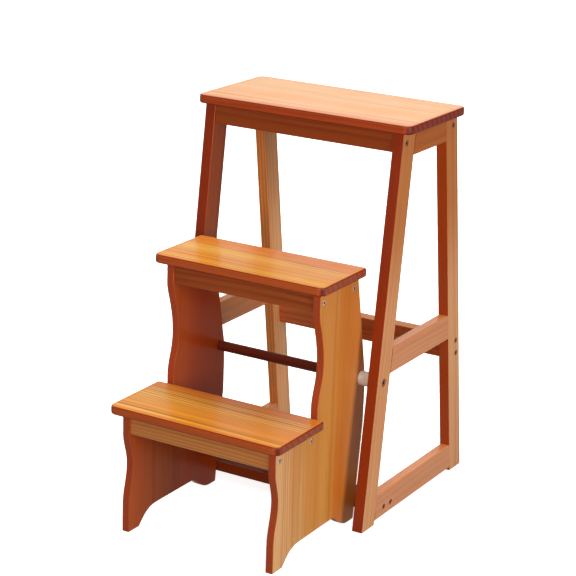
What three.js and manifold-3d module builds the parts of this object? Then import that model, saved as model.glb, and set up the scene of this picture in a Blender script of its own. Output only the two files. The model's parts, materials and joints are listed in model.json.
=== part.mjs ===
// Wooden flip-over step ladder: a trapezoid frame that carries the top tread, and a two-step
// unit that hangs on two pivot bolts in the front legs and folds over into the frame.
// Millimetres. +X runs across the treads, +Y from the front to the back, +Z up from the floor.
// The origin is on the floor, in the middle of the whole ladder's footprint.
import * as THREE from "three";
import { mergeVertices } from "three/addons/utils/BufferGeometryUtils.js";
import Module from "manifold-3d";

const wasm = await Module();
wasm.setup();

// ---------------------------------------------------------------- driving dimensions
const overallWidth = 382; // the top tread
const overallDepth = 570;
const overallHeight = 640;
const gap = 0.3; // left between two pieces that touch
const turnGap = 0.6; // left beside a piece that turns
const overrun = 2; // how far a cut runs past the faces that it opens

const treadThickness = 14;
const treadEdgeRadius = 3;
const treadEdgeSteps = 3;

const topTreadSideOverhang = 13.3;
const topTreadFrontOverhang = 7.5;
const topTreadRearOverhang = 5.6;
const topTreadCornerRadius = 13;

const stepSideOverhang = 14.5;
const stepDepth = 134.5;
const stepFrontCornerRadius = 12;
const stepBackCornerRadius = 5;
const stepNosing = 18.5; // how far a step stands out in front of the side panels
const stepOverlap = 19.5; // how far the middle step reaches over the lower one
const middleStepHeight = 424;
const lowerStepHeight = 211;

const legWidthAcross = 18;
const legDepth = 40;
const frontLegLean = 76.9; // the front legs' heads stand this far behind their feet
const rearLegLean = 90.9; // the rear legs' heads stand this far in front of their feet
const footSpan = 349; // from the front of the front feet to the back of the rear feet

const railHeight = 42;
const railThickness = 16.4;
const lowerRailBottom = 6.5;
const midRailAbovePivot = 9;
const sideApronHeight = 38.5;
const crossApronHeight = 31;
const crossApronThickness = 18;
const frontApronSetback = 3;
const rearApronSetback = 6;
const railTenonLength = 20;
const apronTenonCover = 31; // wood of the leg outside a side apron's tenon
const tenonThickness = 8;
const tenonShoulder = 6;

const rearRailThickness = 18;
const rearRailSetback = 3.5;
const rearRailBottom = 204;
const rearRailScrewInset = 9.5;

const floorBoardThickness = 18;
const floorBoardDepth = 47;
const floorBoardBottom = 12;
const floorBoardBehindPivot = 8.9;
const floorBoardScrewSpacing = 23;

const panelToLeg = 22.7; // between a side panel and the legs beside it
const panelThickness = 12.6;
const panelTopBack = 0.8; // the middle step reaches this far behind the panels
const panelHeel = 5; // the rear feet stand this far in front of the pivot line
const panelBulge = 15; // the panels reach this far behind the pivot line
const bulgeLength = 80; // from the panel's back corner up to the pivot's height
const bulgeEase = 0.5;

// The panels' front edge: an upright nose under each step, a waist below it, an upright neck
// above the lower step and an upright foot. A waist's place is a share of the way up to the nose.
const noseLength = 34;
const lowerWaistDepth = 10.5;
const upperWaistDepth = 17;
const lowerWaistShare = 0.561;
const upperWaistShare = 0.446;
const neckRise = 12.3; // the neck's top stands this far above the lower step
const neckSetback = 3; // and this far behind it
const footRise = 42;

// How long each sweep between two upright stretches stays close to upright at its upper and
// lower ends, as shares of its drop.
const upperNoseSweep = [0.19, 0.475];
const upperNeckSweep = [0.44, 0.355];
const lowerNoseSweep = [0.34, 0.378];
const lowerFootSweep = [0.37, 0.41];

// The arch between a panel's two feet. The shares set how its two ends curve.
const panelFrontFoot = 27.5;
const panelRearFoot = 18;
const archHeight = 24.5;
const archRiseFront = 49;
const archRiseRear = 50;
const archFrontRun = 0.3;
const archFrontRise = 0.6;
const archFrontShoulder = 0.5;
const archRearShoulder = 0.84;
const archRearRun = 0.48;

const stepApronHeight = 34;
const stepApronThickness = 18;
const stepApronRecess = 3;
const screwDrop = 18; // below the underside of a tread

const pivotHeight = 237;
const pivotBarRadius = 8.2;
const spacerRadius = 11.6;
const boltRadius = 3;
const boltHeadRadius = 6;
const boltHeadHeight = 4.5;
const boltHeadChamfer = 0.6;
const boltTipChamfer = 1;
const boltTipInset = 1; // the bolt's tip stops this far inside the insert's end
const boltKeyRadius = 2.9;
const boltKeyDepth = 3;
const boltClearance = 0.25; // in the legs, where the bolt turns
const insertRadius = 5;
const insertLength = 16;

const screwHeadRadius = 4.4;
const screwHeadHeight = 3.2;
const screwHeadChamfer = 0.5;
const screwShankRadius = 2.2;
const panelScrewLength = 42;
const frameScrewLength = 46;
const hexKeyRadius = 2.3;
const hexKeyDepth = 2;
const headClearance = 0.3;
const shankClearance = 0.15;

const dowelRadius = 3.5;
const dowelLength = 28;
const stepDowelRadius = 3;
const stepDowelLength = 24;
const dowelClearance = 0.12;
const dowelInTread = 9; // how much of each dowel is in the tread

const roundSides = 16;
const bushSides = 24; // of the pivot bar and the spacers
const dowelSides = 12;
const curveSteps = 9;
const cornerSteps = 5;

// ---------------------------------------------------------------- sizes worked out from them
const frameWidth = overallWidth - 2 * topTreadSideOverhang;
const legHeight = overallHeight - treadThickness - gap;
const rearFootBack = overallDepth / 2;
const frontFootFront = rearFootBack - footSpan;
const legCentreX = frameWidth / 2 - legWidthAcross / 2;
const apronTenonLength = legDepth - apronTenonCover;
const legInnerX = frameWidth / 2 - legWidthAcross;
const frontLegFront = (z) => frontFootFront + (frontLegLean * z) / legHeight;
const rearLegFront = (z) => rearFootBack - legDepth - (rearLegLean * z) / legHeight;
const frontLegMiddle = (z) => frontLegFront(z) + legDepth / 2;

const topTreadFront = frontLegFront(legHeight) - topTreadFrontOverhang;
const topTreadBack = rearLegFront(legHeight) + legDepth + topTreadRearOverhang;

const lowerStepFront = -overallDepth / 2;
const lowerStepBack = lowerStepFront + stepDepth;
const middleStepFront = lowerStepBack - stepOverlap;
const middleStepBack = middleStepFront + stepDepth;
const panelLowTop = lowerStepHeight - treadThickness - gap;
const panelHighTop = middleStepHeight - treadThickness - gap;
const panelLowFront = lowerStepFront + stepNosing;
const panelHighFront = middleStepFront + stepNosing;
const panelOuterX = legInnerX - panelToLeg;
const panelInnerX = panelOuterX - panelThickness;
const panelCentreX = panelOuterX - panelThickness / 2;
const panelBackTop = middleStepBack - panelTopBack;
const stepWidth = 2 * (panelOuterX + stepSideOverhang);
const pivotY = frontLegMiddle(pivotHeight);
const midRailBottom = pivotHeight + midRailAbovePivot;
const floorBoardFront = pivotY + floorBoardBehindPivot;

const wood = {
  topTread: 0xe9a06c,
  step: 0xd98a3c,
  panel: 0xc98d4a,
  frame: 0xb5633a,
  rail: 0xc47f58,
  apron: 0xb8683a,
};
const bush = 0xe6ddd0;
const nickel = 0xc9c7c2;

// ---------------------------------------------------------------- solids
function solidOf(geometry) {
  const bare = new THREE.BufferGeometry();
  bare.setAttribute("position", geometry.getAttribute("position"));
  if (geometry.index) bare.setIndex(geometry.index);
  const merged = mergeVertices(bare, 1e-4);
  const mesh = new wasm.Mesh({
    numProp: 3,
    vertProperties: new Float32Array(merged.attributes.position.array),
    triVerts: new Uint32Array(merged.index.array),
  });
  return new wasm.Manifold(mesh);
}

function geometryOf(solid) {
  const mesh = solid.getMesh();
  const geometry = new THREE.BufferGeometry();
  geometry.setAttribute("position", new THREE.BufferAttribute(mesh.vertProperties, 3));
  geometry.setIndex(new THREE.BufferAttribute(mesh.triVerts, 1));
  return geometry;
}

// An outline in the side view, given as [y, z] points or a Shape, run from x0 to x1.
function sideExtrude(outline, x0, x1) {
  const shape = Array.isArray(outline)
    ? new THREE.Shape(outline.map(([y, z]) => new THREE.Vector2(y, z)))
    : outline;
  const geometry = new THREE.ExtrudeGeometry(shape, {
    depth: x1 - x0,
    bevelEnabled: false,
    curveSegments: curveSteps,
  });
  const axes = new THREE.Matrix4().set(0, 0, 1, x0, 1, 0, 0, 0, 0, 1, 0, 0, 0, 0, 0, 1);
  return solidOf(geometry.applyMatrix4(axes));
}

function block(x0, x1, y0, y1, z0, z1) {
  const geometry = new THREE.BoxGeometry(x1 - x0, y1 - y0, z1 - z0);
  geometry.translate((x0 + x1) / 2, (y0 + y1) / 2, (z0 + z1) / 2);
  return solidOf(geometry);
}

// A round rod from one point to another.
function rod(radius, from, to, sides = roundSides) {
  const start = new THREE.Vector3(...from);
  const along = new THREE.Vector3(...to).sub(start);
  const geometry = new THREE.CylinderGeometry(radius, radius, along.length(), sides);
  geometry.translate(0, along.length() / 2, 0);
  const turn = new THREE.Quaternion().setFromUnitVectors(
    new THREE.Vector3(0, 1, 0),
    along.clone().normalize(),
  );
  geometry.applyQuaternion(turn);
  geometry.translate(...start);
  return solidOf(geometry);
}

// A turned piece: profile of [radius, distance] pairs, its axis laid along X from the
// point at, running inwards (side +1 starts on the right and runs to the left).
function turned(profile, at, side) {
  const points = profile.map(([radius, along]) => new THREE.Vector2(radius, along));
  const geometry = new THREE.LatheGeometry(points, roundSides);
  geometry.rotateZ((side * Math.PI) / 2);
  geometry.translate(...at);
  return solidOf(geometry);
}

// ---------------------------------------------------------------- fasteners
// A place where a screw goes in: its head's outer face at [x, y, z], running inwards.
function screwAt(x, y, z, length) {
  return { at: [x, y, z], side: Math.sign(x), length };
}

function hexSocket({ at, side }, keyRadius, depth) {
  const [x, y, z] = at;
  const outside = x + side * overrun;
  return rod(keyRadius, [outside, y, z], [x - side * depth, y, z], 6);
}

function screwSolid(place) {
  const tip = place.length;
  const profile = [
    [0, 0],
    [screwHeadRadius - screwHeadChamfer, 0],
    [screwHeadRadius, screwHeadChamfer],
    [screwHeadRadius, screwHeadHeight],
    [screwShankRadius, screwHeadHeight],
    [screwShankRadius, tip - 2 * screwShankRadius],
    [0, tip],
  ];
  const body = turned(profile, place.at, place.side);
  return body.subtract(hexSocket(place, hexKeyRadius, hexKeyDepth));
}

function screwHole(place) {
  const [x, y, z] = place.at;
  const inward = -place.side;
  const headEnd = x + inward * (screwHeadHeight + headClearance);
  const tipEnd = x + inward * (place.length + headClearance);
  const outside = x - inward * overrun;
  const head = rod(screwHeadRadius + headClearance, [outside, y, z], [headEnd, y, z]);
  const shank = rod(screwShankRadius + shankClearance, [x, y, z], [tipEnd, y, z]);
  return head.add(shank);
}

function drilled(solid, holes) {
  return holes.reduce((left, hole) => left.subtract(hole), solid);
}

// ---------------------------------------------------------------- treads
// A tread outline in plan with a rounding radius for each end of its depth.
function treadShape(width, front, back, frontRadius, backRadius) {
  const half = width / 2 - treadEdgeRadius;
  const y0 = front + treadEdgeRadius;
  const y1 = back - treadEdgeRadius;
  const shape = new THREE.Shape();
  const corner = (x, y, radius, start) => {
    const r = radius - treadEdgeRadius;
    const cx = x - Math.sign(x) * r;
    const cy = y === y0 ? y0 + r : y1 - r;
    shape.absarc(cx, cy, r, start, start + Math.PI / 2, false);
  };
  shape.moveTo(0, y0);
  corner(half, y0, frontRadius, -Math.PI / 2);
  corner(half, y1, backRadius, 0);
  corner(-half, y1, backRadius, Math.PI / 2);
  corner(-half, y0, frontRadius, Math.PI);
  return shape;
}

function treadSolid(shape, top) {
  const geometry = new THREE.ExtrudeGeometry(shape, {
    depth: treadThickness - 2 * treadEdgeRadius,
    bevelEnabled: true,
    bevelThickness: treadEdgeRadius,
    bevelSize: treadEdgeRadius,
    bevelSegments: treadEdgeSteps,
    curveSegments: cornerSteps,
  });
  geometry.translate(0, 0, top - treadThickness + treadEdgeRadius);
  return solidOf(geometry);
}

// ---------------------------------------------------------------- frame
const sides = { left: -1, right: 1 };

function fromTo(side, a, b) {
  return side > 0 ? [a, b] : [-b, -a];
}

function legOutline(frontAt) {
  return [
    [frontAt(0), 0],
    [frontAt(0) + legDepth, 0],
    [frontAt(legHeight) + legDepth, legHeight],
    [frontAt(legHeight), legHeight],
  ];
}

// The side rails and side aprons, which are tenoned into the legs.
const sideRails = {
  lower_side_rail: {
    bottom: lowerRailBottom,
    top: lowerRailBottom + railHeight,
    tenon: railTenonLength,
  },
  mid_side_rail: {
    bottom: midRailBottom,
    top: midRailBottom + railHeight,
    tenon: railTenonLength,
  },
  top_side_apron: {
    bottom: legHeight - sideApronHeight,
    top: legHeight,
    tenon: apronTenonLength,
  },
};
const railOuterX = frameWidth / 2;
const railInnerX = railOuterX - railThickness;
const tenonMiddleX = (railOuterX + railInnerX) / 2;

const railFront = (z) => frontLegFront(z) + legDepth + gap;
const railBack = (z) => rearLegFront(z) - gap;
const tenonFront = ({ bottom, tenon }) => railFront(bottom) - tenon;
const tenonBack = ({ bottom, tenon }) => railBack(bottom) + tenon;

function tenonBlock(side, y0, y1, rail, spare) {
  const half = tenonThickness / 2 + spare;
  const [x0, x1] = fromTo(side, tenonMiddleX - half, tenonMiddleX + half);
  const z0 = rail.bottom + tenonShoulder - spare;
  const z1 = rail.top - tenonShoulder + spare;
  return block(x0, x1, y0, y1, z0, z1);
}

function sideRailSolid(side, rail) {
  const { bottom, top } = rail;
  const [x0, x1] = fromTo(side, railInnerX, railOuterX);
  const body = sideExtrude(
    [
      [railFront(bottom), bottom],
      [railBack(bottom), bottom],
      [railBack(top), top],
      [railFront(top), top],
    ],
    x0,
    x1,
  );
  return body.add(tenonBlock(side, tenonFront(rail), tenonBack(rail), rail, 0));
}

function mortise(side, rail) {
  return tenonBlock(side, tenonFront(rail) - gap, tenonBack(rail) + gap, rail, gap);
}

const crossApronTop = legHeight;
const frontApronFront = frontLegFront(crossApronTop - crossApronHeight / 2) + frontApronSetback;
const rearApronBack =
  rearLegFront(crossApronTop - crossApronHeight / 2) + legDepth - rearApronSetback;
const crossApronMiddle = {
  front: frontApronFront + crossApronThickness / 2,
  rear: rearApronBack - crossApronThickness / 2,
};

function crossApronSolid(middle) {
  const x = legInnerX - gap;
  const half = crossApronThickness / 2;
  return block(-x, x, middle - half, middle + half, crossApronTop - crossApronHeight, crossApronTop);
}

// The rear cross rail leans with the rear legs.
const rearLeanAngle = Math.atan(rearLegLean / legHeight);
const rearRailMiddleZ = rearRailBottom + (railHeight / 2) * Math.cos(rearLeanAngle);
const rearRailMiddleY =
  rearLegFront(rearRailMiddleZ) + legDepth - rearRailSetback - rearRailThickness / 2;

function rearRailPoint(along, through) {
  const s = Math.sin(rearLeanAngle);
  const c = Math.cos(rearLeanAngle);
  return [rearRailMiddleY - along * s + through * c, rearRailMiddleZ + along * c + through * s];
}

function rearRailSolid() {
  const h = railHeight / 2;
  const t = rearRailThickness / 2;
  const outline = [
    rearRailPoint(-h, -t),
    rearRailPoint(-h, t),
    rearRailPoint(h, t),
    rearRailPoint(h, -t),
  ];
  return sideExtrude(outline, -legInnerX + gap, legInnerX - gap);
}

const floorBoardX = railInnerX - gap;
const floorBoardMiddle = floorBoardFront + floorBoardDepth / 2;

function floorBoardSolid() {
  const back = floorBoardFront + floorBoardDepth;
  const top = floorBoardBottom + floorBoardThickness;
  return block(-floorBoardX, floorBoardX, floorBoardFront, back, floorBoardBottom, top);
}

// ---------------------------------------------------------------- screws and dowels by place
const panelHead = panelOuterX - gap;
const frameHead = frameWidth / 2 - gap;
const apronScrewZ = crossApronTop - crossApronHeight / 2;
const boardScrewZ = floorBoardBottom + floorBoardThickness / 2;

const stepAprons = {
  lower_front_apron: {
    middle: panelLowFront + stepApronRecess + stepApronThickness / 2,
    top: panelLowTop,
  },
  lower_rear_apron: {
    middle: lowerStepBack - stepApronRecess - stepApronThickness / 2,
    top: panelLowTop,
  },
  middle_front_apron: {
    middle: panelHighFront + stepApronRecess + stepApronThickness / 2,
    top: panelHighTop,
  },
  middle_rear_apron: {
    middle: middleStepBack - stepApronRecess - stepApronThickness / 2,
    top: panelHighTop,
  },
};

const frameScrews = {};
const panelScrews = {};
for (const [name, side] of Object.entries(sides)) {
  const frameX = side * frameHead;
  const upper = rearRailPoint(railHeight / 2 - rearRailScrewInset, 0);
  const lower = rearRailPoint(rearRailScrewInset - railHeight / 2, 0);
  const boardFrontY = floorBoardMiddle - floorBoardScrewSpacing / 2;
  const boardRearY = floorBoardMiddle + floorBoardScrewSpacing / 2;
  const places = {
    front_apron: [crossApronMiddle.front, apronScrewZ],
    rear_apron: [crossApronMiddle.rear, apronScrewZ],
    rear_rail_upper: upper,
    rear_rail_lower: lower,
    floor_board_front: [boardFrontY, boardScrewZ],
    floor_board_rear: [boardRearY, boardScrewZ],
  };
  for (const [place, [y, z]] of Object.entries(places)) {
    frameScrews[`${name}_${place}_screw`] = screwAt(frameX, y, z, frameScrewLength);
  }
  for (const [apron, { middle, top }] of Object.entries(stepAprons)) {
    const place = screwAt(side * panelHead, middle, top - screwDrop, panelScrewLength);
    panelScrews[`${name}_${apron}_screw`] = place;
  }
}

function dowel(radius, length, [x, y, z]) {
  return rod(radius, [x, y, z - length / 2], [x, y, z + length / 2], dowelSides);
}

function dowelHole(radius, length, at) {
  return dowel(radius + dowelClearance, length + 2 * gap, at);
}

// Each leg's dowel stands between the cross apron's screw and the side apron's tenon.
const frontDowelY =
  (crossApronMiddle.front + screwShankRadius + tenonFront(sideRails.top_side_apron)) / 2;
const rearDowelY =
  (crossApronMiddle.rear - screwShankRadius + tenonBack(sideRails.top_side_apron)) / 2;
const legDowelZ = legHeight + dowelInTread - dowelLength / 2;
const legDowels = {};
for (const [name, side] of Object.entries(sides)) {
  const x = side * legCentreX;
  legDowels[`${name}_front_leg_dowel`] = [x, frontDowelY, legDowelZ];
  legDowels[`${name}_rear_leg_dowel`] = [x, rearDowelY, legDowelZ];
}

const stepDowelDrop = dowelInTread - stepDowelLength / 2;
const stepDowels = {};
for (const [name, side] of Object.entries(sides)) {
  const x = side * panelCentreX;
  const lowerY = (panelLowFront + lowerStepBack) / 2;
  const middleY = (panelHighFront + middleStepBack) / 2;
  stepDowels[`${name}_lower_step_dowel`] = [x, lowerY, panelLowTop + stepDowelDrop];
  stepDowels[`${name}_middle_step_dowel`] = [x, middleY, panelHighTop + stepDowelDrop];
}

const legDowelHoles = Object.values(legDowels).map((at) =>
  dowelHole(dowelRadius, dowelLength, at),
);
const stepDowelHoles = Object.values(stepDowels).map((at) =>
  dowelHole(stepDowelRadius, stepDowelLength, at),
);
const frameScrewHoles = Object.values(frameScrews).map(screwHole);
const panelScrewHoles = Object.values(panelScrews).map(screwHole);

// ---------------------------------------------------------------- pivot
const boltHeadFace = frameWidth / 2 - gap;
const insertFace = panelInnerX - 2 * gap;
const boltEnd = insertFace - insertLength + boltTipInset;
const boltLength = boltHeadFace - boltEnd;
const boltHeadSeat = boltHeadFace - boltHeadHeight;

function pivotBolt(side) {
  const profile = [
    [0, 0],
    [boltHeadRadius - boltHeadChamfer, 0],
    [boltHeadRadius, boltHeadChamfer],
    [boltHeadRadius, boltHeadHeight],
    [boltRadius, boltHeadHeight],
    [boltRadius, boltLength - boltTipChamfer],
    [boltRadius - boltTipChamfer, boltLength],
    [0, boltLength],
  ];
  const place = { at: [side * boltHeadFace, pivotY, pivotHeight], side };
  return turned(profile, place.at, side).subtract(hexSocket(place, boltKeyRadius, boltKeyDepth));
}

function pivotRod(side, radius, from, to, sidesCount = roundSides) {
  return rod(
    radius,
    [side * from, pivotY, pivotHeight],
    [side * to, pivotY, pivotHeight],
    sidesCount,
  );
}

function pivotSpacer(side) {
  const body = pivotRod(side, spacerRadius, panelOuterX + gap, legInnerX - turnGap, bushSides);
  return body.subtract(pivotRod(side, boltRadius + gap, panelOuterX, legInnerX));
}

function pivotInsert(side) {
  const insertEnd = insertFace - insertLength;
  const body = pivotRod(side, insertRadius, insertFace, insertEnd);
  const bore = boltRadius + shankClearance;
  return body.subtract(pivotRod(side, bore, insertFace + overrun, insertEnd - overrun));
}

function legPivotHole(side) {
  const inside = legInnerX - overrun;
  const outside = frameWidth / 2 + overrun;
  const shank = pivotRod(side, boltRadius + boltClearance, inside, outside);
  const head = pivotRod(side, boltHeadRadius + turnGap, boltHeadSeat - turnGap, outside);
  return shank.add(head);
}

// ---------------------------------------------------------------- step unit
// One sweep of the front edge, from one upright stretch down to the next.
function sweepDown(shape, [fromY, fromZ], [toY, toZ], [upperShare, lowerShare]) {
  const drop = fromZ - toZ;
  shape.bezierCurveTo(fromY, fromZ - upperShare * drop, toY, toZ + lowerShare * drop, toY, toZ);
}

// The side panel's outline in the side view: two upright noses with a waist below each step,
// a back that bulges to just behind the pivot, and an arch between two feet.
function panelShape() {
  const back = pivotY + panelBulge;
  const heel = pivotY - panelHeel;
  const archFront = panelLowFront + panelFrontFoot;
  const archRear = heel - panelRearFoot;
  const upperNose = [panelHighFront, panelHighTop - noseLength];
  const neck = [lowerStepBack + neckSetback, lowerStepHeight + neckRise];
  const upperWaistZ = neck[1] + upperWaistShare * (upperNose[1] - neck[1]);
  const upperWaist = [panelHighFront + upperWaistDepth, upperWaistZ];
  const lowerNose = [panelLowFront, panelLowTop - noseLength];
  const foot = [panelLowFront, footRise];
  const lowerWaistZ = foot[1] + lowerWaistShare * (lowerNose[1] - foot[1]);
  const lowerWaist = [panelLowFront + lowerWaistDepth, lowerWaistZ];

  const shape = new THREE.Shape();
  shape.moveTo(panelLowFront, 0);
  shape.lineTo(archFront, 0);
  shape.bezierCurveTo(
    archFront + archRiseFront * archFrontRun,
    archHeight * archFrontRise,
    archFront + archRiseFront * archFrontShoulder,
    archHeight,
    archFront + archRiseFront,
    archHeight,
  );
  shape.lineTo(archRear - archRiseRear, archHeight);
  shape.bezierCurveTo(
    archRear - archRiseRear * archRearShoulder,
    archHeight,
    archRear - archRiseRear * archRearRun,
    0,
    archRear,
    0,
  );
  shape.lineTo(heel, 0);
  shape.lineTo(back - bulgeEase, pivotHeight - bulgeLength);
  shape.quadraticCurveTo(
    back + bulgeEase,
    pivotHeight - bulgeLength / 2,
    back - bulgeEase,
    pivotHeight,
  );
  shape.lineTo(panelBackTop, panelHighTop);
  shape.lineTo(panelHighFront, panelHighTop);
  shape.lineTo(...upperNose);
  sweepDown(shape, upperNose, upperWaist, upperNoseSweep);
  sweepDown(shape, upperWaist, neck, upperNeckSweep);
  shape.lineTo(neck[0], panelLowTop);
  shape.lineTo(panelLowFront, panelLowTop);
  shape.lineTo(...lowerNose);
  sweepDown(shape, lowerNose, lowerWaist, lowerNoseSweep);
  sweepDown(shape, lowerWaist, foot, lowerFootSweep);
  shape.closePath();
  return shape;
}

function panelSolid(side) {
  const [x0, x1] = fromTo(side, panelInnerX, panelOuterX);
  const board = sideExtrude(panelShape(), x0, x1);
  const bore = boltRadius + shankClearance;
  const boltHole = pivotRod(side, bore, panelInnerX - overrun, panelOuterX + overrun);
  return drilled(board, [boltHole, ...panelScrewHoles, ...stepDowelHoles]);
}

function stepApronSolid({ middle, top }) {
  const x = panelInnerX - gap;
  const half = stepApronThickness / 2;
  const board = block(-x, x, middle - half, middle + half, top - stepApronHeight, top);
  return drilled(board, panelScrewHoles);
}

function pivotBarSolid() {
  const x = panelInnerX - gap;
  const bar = pivotRod(1, pivotBarRadius, -x, x, bushSides);
  const pocketDepth = insertFace - insertLength - gap;
  const pockets = Object.values(sides).map((side) =>
    pivotRod(side, insertRadius + gap, x + overrun, pocketDepth),
  );
  return drilled(bar, pockets);
}

// ---------------------------------------------------------------- scene graph
function mesh(name, solid, color, roughness = 0.35, metalness = 0) {
  const material = new THREE.MeshStandardMaterial({ color, roughness, metalness });
  const piece = new THREE.Mesh(geometryOf(solid), material);
  piece.name = name;
  return piece;
}

const ladder = new THREE.Group();
const frame = new THREE.Group();
const stepUnit = new THREE.Group();
ladder.add(frame, stepUnit);

const topTread = treadSolid(
  treadShape(overallWidth, topTreadFront, topTreadBack, topTreadCornerRadius, topTreadCornerRadius),
  overallHeight,
);
frame.add(mesh("top_tread", drilled(topTread, legDowelHoles), wood.topTread));

for (const [name, side] of Object.entries(sides)) {
  const [x0, x1] = fromTo(side, legInnerX, frameWidth / 2);
  const legs = { front_leg: [frontLegFront, true], rear_leg: [rearLegFront, false] };
  for (const [leg, [frontAt, isFront]] of Object.entries(legs)) {
    const mortises = Object.values(sideRails).map((place) => mortise(side, place));
    const holes = [...mortises, ...frameScrewHoles, ...legDowelHoles];
    if (isFront) holes.push(legPivotHole(side));
    const solid = drilled(sideExtrude(legOutline(frontAt), x0, x1), holes);
    frame.add(mesh(`${name}_${leg}`, solid, wood.frame));
  }
  for (const [rail, place] of Object.entries(sideRails)) {
    const solid = drilled(sideRailSolid(side, place), frameScrewHoles);
    frame.add(mesh(`${name}_${rail}`, solid, wood.rail));
  }
}

for (const [place, middle] of Object.entries(crossApronMiddle)) {
  const solid = drilled(crossApronSolid(middle), frameScrewHoles);
  frame.add(mesh(`top_${place}_apron`, solid, wood.apron));
}
frame.add(mesh("rear_cross_rail", drilled(rearRailSolid(), frameScrewHoles), wood.rail));
frame.add(mesh("floor_board", drilled(floorBoardSolid(), frameScrewHoles), wood.frame));

for (const [name, place] of Object.entries(frameScrews)) {
  frame.add(mesh(name, screwSolid(place), nickel, 0.25, 1));
}
for (const [name, at] of Object.entries(legDowels)) {
  frame.add(mesh(name, dowel(dowelRadius, dowelLength, at), wood.rail, 0.7));
}

const steps = {
  lower_step: [lowerStepFront, lowerStepBack, lowerStepHeight],
  middle_step: [middleStepFront, middleStepBack, middleStepHeight],
};
for (const [name, [front, back, top]] of Object.entries(steps)) {
  const outline = treadShape(stepWidth, front, back, stepFrontCornerRadius, stepBackCornerRadius);
  const board = drilled(treadSolid(outline, top), stepDowelHoles);
  stepUnit.add(mesh(name, board, wood.step));
}
for (const [name, place] of Object.entries(stepAprons)) {
  stepUnit.add(mesh(name, stepApronSolid(place), wood.apron));
}
stepUnit.add(mesh("pivot_bar", pivotBarSolid(), wood.frame));
for (const [name, side] of Object.entries(sides)) {
  stepUnit.add(mesh(`${name}_side_panel`, panelSolid(side), wood.panel));
  stepUnit.add(mesh(`${name}_pivot_bolt`, pivotBolt(side), nickel, 0.25, 1));
  stepUnit.add(mesh(`${name}_pivot_spacer`, pivotSpacer(side), bush, 0.45));
  stepUnit.add(mesh(`${name}_pivot_insert`, pivotInsert(side), nickel, 0.35, 1));
}
for (const [name, place] of Object.entries(panelScrews)) {
  stepUnit.add(mesh(name, screwSolid(place), nickel, 0.25, 1));
}
for (const [name, at] of Object.entries(stepDowels)) {
  stepUnit.add(mesh(name, dowel(stepDowelRadius, stepDowelLength, at), wood.rail, 0.7));
}

export default ladder;
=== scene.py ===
"""A wooden flip-over step ladder: varnished pine boards, nickel screws and plastic pivot spacers."""

import json
import math
import random

import bmesh
import bpy
from mathutils import Matrix, Vector


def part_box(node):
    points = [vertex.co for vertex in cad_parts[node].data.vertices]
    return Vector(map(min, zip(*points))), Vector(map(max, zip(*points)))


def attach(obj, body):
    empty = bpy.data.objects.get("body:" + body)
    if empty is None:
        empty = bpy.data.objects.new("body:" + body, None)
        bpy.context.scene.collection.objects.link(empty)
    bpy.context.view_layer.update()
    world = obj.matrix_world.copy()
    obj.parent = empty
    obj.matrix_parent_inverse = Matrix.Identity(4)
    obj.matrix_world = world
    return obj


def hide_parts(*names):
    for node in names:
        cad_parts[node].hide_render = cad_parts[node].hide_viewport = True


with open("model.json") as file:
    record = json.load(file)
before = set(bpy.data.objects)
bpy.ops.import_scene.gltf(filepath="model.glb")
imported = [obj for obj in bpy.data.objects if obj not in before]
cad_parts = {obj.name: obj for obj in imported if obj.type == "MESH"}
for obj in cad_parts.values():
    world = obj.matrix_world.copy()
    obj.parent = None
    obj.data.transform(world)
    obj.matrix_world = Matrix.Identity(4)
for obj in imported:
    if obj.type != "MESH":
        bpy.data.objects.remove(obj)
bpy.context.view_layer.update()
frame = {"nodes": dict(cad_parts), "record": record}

# ---------------------------------------------------------------- sizes, in metres
TREAD_EDGE = 0.003
TREAD_EDGE_STEPS = 6
CORNER_STEPS = 10
TOP_TREAD_CORNER = 0.013
STEP_FRONT_CORNER = 0.012
STEP_BACK_CORNER = 0.005

LEG_DEPTH = 0.040
LEG_EDGE = 0.0012
FOOT_EDGE = 0.0012
FOOT_EDGE_STEPS = 2
RAIL_EDGE = 0.0014
APRON_EDGE = 0.0016
PANEL_EDGE = 0.0018
EDGE_STEPS = 3
RECESS_REACH = 0.008
TOP_STRIP = 0.0325
STEP_STRIP = 0.0225
PANEL_STRIP = 0.044

SCREW = {"head": 0.0032, "shank": 0.0022, "key": 0.0026, "key_depth": 0.0020, "rim": 0.0007}
BOLT = {"head": 0.0045, "shank": 0.0030, "key": 0.0029, "key_depth": 0.0030, "rim": 0.0009}
SCREW_SIDES = 36
RIM_STEPS = 4
KEY_SEAT = 1.12
TIP_SHARE = 0.12
SPACER_BORE = 0.0033
SPACER_EDGE = 0.0010
SPACER_SIDES = 64
BAR_POCKET_RADIUS = 0.0053
BAR_POCKET_DEPTH = 0.0166
BAR_EDGE = 0.0006
BAR_EDGE_STEPS = 2
BAR_SIDES = 48

SIDES = ("left", "right")
AXES = "XYZ"
CLOSE = 1e-5
TOUCHING = 1e-7
FACING = 0.99
ALONG = 0.9995
FLAT_WITHIN = math.radians(0.5)

# Edges sharper than these stay sharp, in degrees.
WOOD_SHARP = 50
PANEL_SHARP = 60
SCREW_SHARP = 40


# ---------------------------------------------------------------- modelling helpers
def only(piece):
    """Leaves this piece alone selected and active."""
    bpy.ops.object.select_all(action="DESELECT")
    piece.select_set(True)
    bpy.context.view_layer.objects.active = piece


def open_edit(piece):
    only(piece)
    bpy.ops.object.mode_set(mode="EDIT")


def close_edit():
    bpy.ops.object.mode_set(mode="OBJECT")


def pick(piece, kind, wanted):
    """In edit mode, selects just the edges or faces that are wanted."""
    bpy.context.tool_settings.mesh_select_mode = (False, kind == "edges", kind == "faces")
    bpy.ops.mesh.select_all(action="DESELECT")
    shape = bmesh.from_edit_mesh(piece.data)
    for part in getattr(shape, kind):
        if wanted(part):
            part.select_set(True)
    bmesh.update_edit_mesh(piece.data)


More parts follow.
